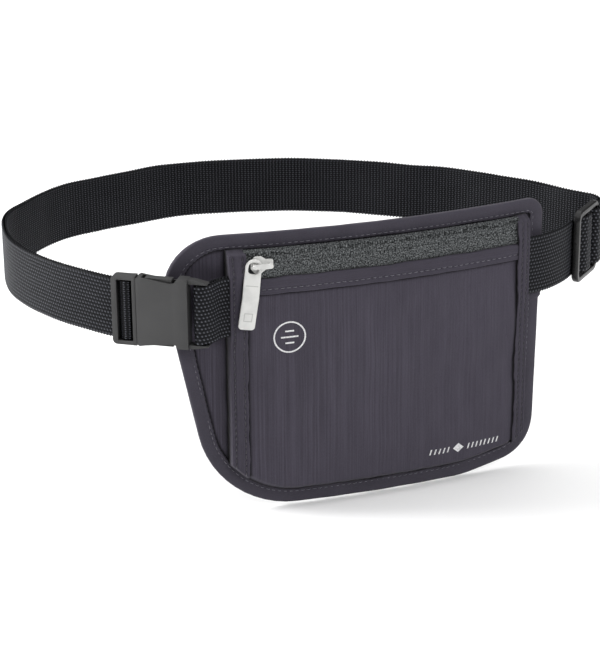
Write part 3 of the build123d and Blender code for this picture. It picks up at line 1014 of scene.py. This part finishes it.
def section_strip(name, along, section, place, material, uv_step):
    """A closed strip: section(a) gives rows of (across, height) at each place along it."""
    rings = [place(a, *np.array(section(a)).T) for a in along]
    points = np.array(rings)
    u = np.repeat(np.asarray(along)[:, None], points.shape[1], axis=1)
    v = np.repeat(np.arange(points.shape[1])[None, :] * uv_step, len(along), axis=0)
    obj = grid_object(name, points, material, closed=True, caps=True, uv=np.stack([v, u], axis=-1))
    weld(obj)
    return obj


def strip_section(low, high, base, top, grooves, depth, low_round, high_round):
    """Across and radius round a folded strip with stitch grooves."""
    across = np.concatenate([
        [low, low, low + low_round * 0.3, low + low_round],
        np.linspace(low + low_round + 0.2, high - high_round - 0.2, 26),
        [high - high_round, high - high_round * 0.3, high, high],
    ])
    radius = np.full(len(across), top, float)
    radius[:4] = [base, top - low_round, top - low_round * 0.3, top]
    radius[-4:] = [top, top - high_round * 0.3, top - high_round, base]
    for groove in grooves:
        radius[4:-4] -= depth * np.exp(-((across[4:-4] - groove) / 0.55) ** 2)
    radius[4:-4] += 0.12 * np.sin((across[4:-4] - low) / (high - low) * pi)
    return across, radius


WELT_STITCH_Z = 7.4
WELT_FOOT_R = 500.4


def welt():
    """The folded cloth along the pocket's mouth, under the zip."""
    s = np.arange(TRIM_LEFT[1] - 2.0, TRIM_RIGHT[0] + 2.0, 0.75)

    def place(a, z, r):
        return pouch_point(s_to_x(a), z, r)

    def section(a):
        wander = 0.18 * float(waves(a, 0, 26, 41)) + 0.08 * float(waves(a, 0, 9, 42))
        lift = 0.12 * float(waves(a, 5, 15, 43))
        depth = 0.30 + 0.12 * cos(2 * pi * a / STITCH_PITCH)
        z, r = strip_section(WELT_Z[0] + 0.5 * wander, WELT_Z[1] + wander, WELT_FOOT_R, WELT_R + lift,
                             [WELT_STITCH_Z], depth, 0.25, 0.8)
        return np.stack([z, r], axis=1)

    return section_strip("zip_welt_fold", s, section, place, FABRIC_PLAIN, 0.35)


piece(welt(), "pouch", "pouch_fabric", "zip_welt")
welt_s = np.arange(TRIM_LEFT[1] + 0.4, TRIM_RIGHT[0] - 0.2, 0.75)
welt_row = pouch_point(s_to_x(welt_s), WELT_STITCH_Z, WELT_R - 0.15 + 0.12 * waves(welt_s, 5, 15, 43))
piece(stitches("welt_stitches", [(welt_row, radial(s_to_x(welt_s)))], THREAD), "pouch", "pouch_fabric")


# ---- side trims ------------------------------------------------------------------------
TRIM_ROWS = 190


def trim(name, s_range, over, grooves, wavy, seed):
    """Upright folded strip; its outer side runs down to the back panel."""
    line = inset_line(BINDING_W - 0.5)
    bottom, _ = end_limits(line, s_to_x(np.array([s_range[0] + 0.2, s_range[1] - 0.2])))
    outer_low = s_range[0] < 0
    top_z = (33.9 if outer_low else 32.8) - BINDING_W + 0.4

    def raised(z):
        """Height over the sewn webbing."""
        return over * ease((WEB_W / 2 + 9.0 - np.abs(z)) / 9.0)

    share = np.linspace(0, 1, TRIM_ROWS)
    rings = []
    for k in share:
        middle = k * top_z + (1 - k) * bottom.mean()
        wander = wavy * float(waves(middle, 3, 22, seed)) + 0.1 * float(waves(middle, 9, 6, seed + 1))
        depth = 0.34 + 0.12 * cos(2 * pi * middle / STITCH_PITCH)
        low, high = s_range
        if outer_low:
            high = high + wander
        else:
            low = low + wander
        fall = 5.0 * (1 - ease(k / 0.02)) + 5.0 * (1 - ease((1 - k) / 0.015))
        top = TRIM_R + raised(middle) - fall
        s, r = strip_section(low, high, top - 1.2, top, grooves, depth, 0.3, 0.3)
        r[0 if outer_low else -1] = TRIM_FOOT_R
        z = np.interp(s, s_range, bottom) * (1 - k) + top_z * k
        rings.append(pouch_point(s_to_x(s), z, r))
    points = np.array(rings)
    u = np.repeat(np.arange(points.shape[1])[None, :] * 0.3, len(share), axis=0)
    obj = grid_object(name, points, FABRIC_PLAIN, closed=True, caps=True,
                      uv=np.stack([u + s_range[0], points[:, :, 2]], axis=-1))
    weld(obj)
    rows = []
    for groove in grooves:
        z_start = float(np.interp(groove, s_range, bottom)) + 1.5
        z = np.arange(z_start, top_z - 1.5, 0.75)
        row = pouch_point(s_to_x(groove), z, TRIM_R - 0.13 + raised(z))
        rows.append((row, np.repeat(radial(s_to_x([groove])), len(z), axis=0)))
    return obj, rows


LEFT_GROOVES = (-65.6, -60.9)
RIGHT_GROOVES = (84.2, 87.0)
left_trim, left_rows = trim("side_trim_left_fold", TRIM_LEFT, 1.5, LEFT_GROOVES, 0.25, 51)
right_trim, right_rows = trim("side_trim_right_fold", TRIM_RIGHT, 0.7, RIGHT_GROOVES, 0.3, 55)
piece(left_trim, "pouch", "pouch_fabric", "side_trim_left")
piece(right_trim, "pouch", "pouch_fabric", "side_trim_right")
piece(stitches("trim_stitches", left_rows + right_rows, DARK_THREAD), "pouch", "pouch_fabric")


# ---- webbing ---------------------------------------------------------------------------
OUTER_RIBS = 16
INNER_RIBS = 26
PITCH = 1.75
BEAD = 0.40
HALF_CORE = 0.36
LOOP_X = 11.6


def web_spans():
    """The belt's web from the pouch to its sewn end: each span's name, its rows, the body it rides,
    the second body where it bends between two, and the node it replaces."""
    mouth = in_frame(MOUTH, 0, 0, 180)
    glide_end = in_frame(GLIDE, GLIDE_RUN, 0, 180)
    radius = TAPE_R + HALF_WEB
    crest = -GLIDE_OUT - BAR_R - BAR_GAP - HALF_WEB
    under = PLY + PLY_STEP
    over = -GLIDE_OUT - GLIDE_T / 2 - 0.2 - HALF_WEB
    y_in, y_out = BELT_Y + PLY, BELT_Y - PLY
    y_crest = -0.1 - BAR_R - BAR_GAP - HALF_WEB
    right = [on_pouch(82.6, radius), on_pouch(88.5, radius), in_frame(GLIDE, -GLIDE_L / 2, PLY)]
    weave_route = ((-GLIDE_L / 2, PLY), (-10.0, PLY), (-2.6, crest), (0.6, crest),
                   (7.4, under), (15.5, under), (GLIDE_RUN, PLY))
    weave = [in_frame(GLIDE, x, y) for x, y in weave_route]
    slot_x = MALE_END_BAR - MALE_L + 0.1
    turn = [
        in_frame(MOUTH, 0, -PLY),
        in_frame(BUCKLE, slot_x, y_out),
        in_frame(BUCKLE, MALE_BAR - 0.5, y_crest),
        in_frame(BUCKLE, MALE_BAR, y_crest),
        in_frame(BUCKLE, MALE_BAR, y_in, 180),
        in_frame(BUCKLE, slot_x, y_in, 180),
        in_frame(MOUTH, 0, PLY, 180),
    ]
    loop = [in_frame(GLIDE, x, y, 180) for x, y in ((GLIDE_RUN, -PLY), (14.0, over), (LOOP_X, over))]
    loop += [in_frame(GLIDE, LOOP_X, PLY), in_frame(GLIDE, 15.2, PLY)]
    bend_right, bend_left = [BELT[-1], glide_end], [mouth] + BELT[:2]
    return [
        ("right", span(right), "pouch", "tri_glide", "strap_right"),
        ("weave", span(weave), "tri_glide", None, "strap_weave"),
        ("bend_right_inner", span(bend_right, -PLY, back=True), "pouch", "tri_glide", "strap_bend_right"),
        ("back_inner", span(BELT[1:], -PLY, back=True), "pouch", None, "strap_back_inner"),
        ("bend_left_inner", span(bend_left, -PLY, back=True), "pouch", "buckle_male", "strap_bend_left"),
        ("turn", span(turn, back=True), "buckle_male", None, "strap_buckle_turn"),
        ("bend_left_outer", span(bend_left, PLY), "pouch", "buckle_male", "strap_bend_left"),
        ("back_outer", span(BELT[1:], PLY), "pouch", None, "strap_back_outer"),
        ("bend_right_outer", span(bend_right, PLY), "pouch", "tri_glide", "strap_bend_right"),
        ("loop", span(loop), "tri_glide", None, "strap_end_loop"),
    ]


def web_mesh(name, rows, start, fine=1, wearer_left=True):
    """One span of webbing, with beads on its two faces in ribs. Gives the object and the bead it ends on."""
    keep = np.concatenate([[True], np.hypot(*np.diff(rows[:, :2], axis=0).T) > 1e-6])
    rows = rows[keep]
    at = np.concatenate([[0], np.cumsum(np.hypot(*np.diff(rows[:, :2], axis=0).T))])
    steps = max(2, int(round(at[-1] / (PITCH / 2))))
    u = np.linspace(0, at[-1], steps * fine + 1)
    bead = start + np.arange(steps * fine + 1) / fine
    heading = np.radians(np.interp(u, at, np.degrees(np.unwrap(np.radians(rows[:, 2])))))
    x, y = np.interp(u, at, rows[:, 0]), np.interp(u, at, rows[:, 1])
    normal = np.stack([-np.sin(heading), np.cos(heading)], axis=1)
    along = np.stack([np.cos(heading), np.sin(heading)], axis=1)
    run = bead * PITCH / 2
    wave = 0.12 * waves(run, 0, 30, 61)

    def points(height, slant, vv):
        px = x[:, None] + normal[:, 0:1] * height + along[:, 0:1] * slant
        py = y[:, None] + normal[:, 1:2] * height + along[:, 1:2] * slant
        return np.stack([px, py, np.broadcast_to(vv, px.shape)], axis=-1)

    def face(ribs, side, chevron):
        """One face: each rib is a valley and two shoulders, whose beads lean like twisted cord."""
        per_rib = 3
        cells = np.arange(ribs * per_rib + 1)
        rib, part = cells // per_rib, cells % per_rib
        profile = np.array([0.0, 1.0, 0.86])[part]
        v = -WEB_W / 2 + 0.35 + cells / (ribs * per_rib) * (WEB_W - 0.7)
        up = 0.5 + 0.5 * np.cos(pi * (bead[:, None] + (0 if chevron else rib[None, :])))
        low = 0.30 if chevron else 0.45
        lift = profile[None, :] * (low + (1 - low) * up)
        lean = np.where(rib % 2 == 0, 1, -1) if chevron else np.ones(len(rib))
        slant = (0.45 * lean * (part / 2 - 0.5))[None, :] + np.zeros((len(bead), 1))
        vv = v[None, :] + wave[:, None]
        return points(side * (HALF_CORE + BEAD * lift), slant, vv), lift, v

    left_ribs, right_ribs = (INNER_RIBS, OUTER_RIBS) if wearer_left else (OUTER_RIBS, INNER_RIBS)
    first, first_lift, first_v = face(left_ribs, 1, wearer_left)
    second, second_lift, second_v = face(right_ribs, -1, not wearer_left)
    edge = 0.5 + 0.5 * np.cos(pi * bead)
    rim = WEB_W / 2 - 0.5 + 0.9 * edge
    zero = np.zeros((len(u), 1))
    top = points(zero, zero, (rim + wave)[:, None])
    bottom = points(zero, zero, (-rim + wave)[:, None])
    ring = np.concatenate([first, top, second[:, ::-1], bottom], axis=1)
    lift = np.concatenate([first_lift, edge[:, None], second_lift[:, ::-1], edge[:, None]], axis=1)
    # The second face's map is moved aside, so that the two faces don't share their grain
    across = np.concatenate([first_v, [WEB_W / 2], second_v[::-1] + 40, [WEB_W / 2 + 40]])
    uv = np.stack([np.repeat(run[:, None], ring.shape[1], axis=1),
                   np.repeat(across[None, :], len(u), axis=0)], axis=-1)
    obj = grid_object(name, ring, WEBBING, closed=True, caps=True, uv=uv)
    attribute = obj.data.attributes.new("bead", "FLOAT", "POINT")
    attribute.data.foreach_set("value", lift.astype(np.float32).ravel())
    weld(obj, join=False)
    # A bead's height is level where two spans meet, so the end rows are shaded as if the web ran on
    forward = np.gradient(ring, axis=0)
    forward[[0, -1], :, :2] = along[[0, -1], None, :]
    forward[[0, -1], :, 2] = 0
    around = np.roll(ring, -1, axis=1) - np.roll(ring, 1, axis=1)
    shade = np.cross(forward, around)
    shade /= np.linalg.norm(shade, axis=2)[:, :, None]
    middle = ring.mean(axis=1, keepdims=True)
    if ((ring - middle) * shade).sum() < 0:
        shade = -shade
    obj.data.normals_split_custom_set_from_vertices(shade.reshape(-1, 3).tolist())
    return obj, start + steps


OUTER_SPANS = ("bend_left_outer", "back_outer", "bend_right_outer", "loop")
TIGHT_SPANS = ("weave", "turn", "loop")
TURNED_SPANS = ("bend_right_inner", "bend_left_outer")


def belt():
    start = 0
    for name, rows, body, other, node in web_spans():
        fine = 4 if name in TIGHT_SPANS else 2
        # From the pouch to the turn the wearer is on the web's left, and after it on its right
        obj, start = web_mesh(f"web_{name}", rows, start, fine, name not in OUTER_SPANS)
        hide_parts(node)
        if other is None:
            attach(obj, body)
            continue
        ends = [Vector((*rows[i, :2] * MM, 0)) for i in (0, -1)]
        if name in TURNED_SPANS:
            ends = ends[::-1]
        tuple(ends[0])
        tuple(ends[1])
        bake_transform(obj)


belt()


STRAP_FOOT_S = -61.5
STRAP_FOOT_R = 499.7


def short_strap():
    """The short strap: from under the left trim, round the female part's bar and back."""
    loop = BAR_R + BAR_GAP + HALF_WEB
    back_r = STRAP_FOOT_R + HALF_WEB
    bar = in_frame(BUCKLE, FEMALE_BAR, 0, STRAP_TURN)
    outward = [on_pouch(s, back_r + PLY_STEP) for s in (STRAP_FOOT_S, TRIM_LEFT[0])]
    route = [(point, heading + 180) for point, heading in outward]
    route += [in_frame(bar, 0, -loop, 180), in_frame(bar, 0, loop)]
    route += [on_pouch(s, back_r) for s in (TRIM_LEFT[0], STRAP_FOOT_S)]
    obj, _ = web_mesh("web_short", span(route), 0, fine=4, wearer_left=False)
    return obj


piece(short_strap(), "pouch", "webbing", "strap_short")


# ---- hard parts ------------------------------------------------------------------------
BEVEL_SEGMENTS = 3
BEVEL_ANGLE = 32


def bevelled(node, name, material, width):
    """The CAD node's own shape with its sharp edges rounded."""
    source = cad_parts[node].data
    bm = bmesh.new()
    bm.from_mesh(source)
    bmesh.ops.remove_doubles(bm, verts=bm.verts, dist=3e-6)
    bmesh.ops.dissolve_limit(bm, angle_limit=radians(0.6), verts=bm.verts, edges=bm.edges)
    mesh = bpy.data.meshes.new(name)
    bm.to_mesh(mesh)
    bm.free()
    smooth(mesh)
    obj = new_object(name, mesh, material)
    bevel = obj.modifiers.new("round", "BEVEL")
    bevel.width = width * MM
    bevel.segments = BEVEL_SEGMENTS
    bevel.limit_method = "ANGLE"
    bevel.angle_limit = radians(BEVEL_ANGLE)
    bevel.use_clamp_overlap = True
    bevel.harden_normals = True
    return obj


# Node, piece, material, edge radius, slot and body
HARD = [
    ("buckle_female", "buckle_female_body", PLASTIC, 0.45, "buckle_plastic", "pouch"),
    ("buckle_male", "buckle_male_body", PLASTIC, 0.4, "buckle_plastic", "buckle_male"),
    ("prong_upper", "prong_upper_arm", PLASTIC, 0.3, "buckle_plastic", "prong_upper"),
    ("prong_lower", "prong_lower_arm", PLASTIC, 0.3, "buckle_plastic", "prong_lower"),
    ("tri_glide", "tri_glide_ring", GLOSS, 0.5, "buckle_plastic", "tri_glide"),
    ("zip_slider", "zip_slider_body", PAINT, 0.25, "slider_metal", "slider"),
    ("zip_puller", "zip_puller_tab", PAINT, 0.35, "slider_metal", "puller"),
    ("zip_end_stop", "zip_end_stop_clip", GLOSS, 0.15, "slider_metal", "pouch"),
]
for node, name, material, width, slot, body in HARD:
    piece(bevelled(node, name, material, width), body, slot, node)

# The tab's middle plane: heights along it, and how far out it stands at each
PULLER_LINE = ((-30.5, -14.5, -4.2), (-6.3, -5.8, -2.8))
PULLER_HALF_T = 0.7


def on_puller(x, z, lift=0.06):
    """A point on the puller's front face, from x and z along the tab below the slider's leg."""
    x, z = np.asarray(x, float), np.asarray(z, float)
    y = np.interp(z, *PULLER_LINE) - PULLER_HALF_T - lift
    tilt = radians(PULLER_TILT)
    side, down = x * cos(tilt) + z * sin(tilt) + SLIDER_LEG_X, z * cos(tilt) - x * sin(tilt)
    (slider_x, slider_y), heading = on_pouch(SLIDER_S, ARC_R)
    turn = radians(heading)
    at_x = slider_x + side * cos(turn) - y * sin(turn)
    at_y = slider_y + side * sin(turn) + y * cos(turn)
    return np.stack([at_x, at_y, ZIP_Z + down], axis=-1)


def frame_rows(x, z, half_w, half_h, line):
    """A plain rectangular outline as one closed strip."""
    corners = [(-1, -1), (1, -1), (1, 1), (-1, 1), (-1, -1)]
    return [[(x + a * (half_w - cut), z + b * (half_h - cut)) for cut in (0, line)] for a, b in corners]


# Painted shade: the puller's recessed outlines are not cut in; their shaded edges are drawn as thin strips
# of darker paint on its face
recess_shade_marks = [frame_rows(0, -24.3, 2.1, 2.1, 0.4)]
recess_shade_marks += [bar_rows(0, -9.2, 6.0, 0.35)]
piece(flat_strips("puller_recess_shade", recess_shade_marks, on_puller, RECESS_SHADE_PAINT), "puller", "slider_metal")

for node in ("zip_coil_upper", "zip_coil_lower"):
    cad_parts[node].data.materials.clear()
    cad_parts[node].data.materials.append(ZIP_COIL)
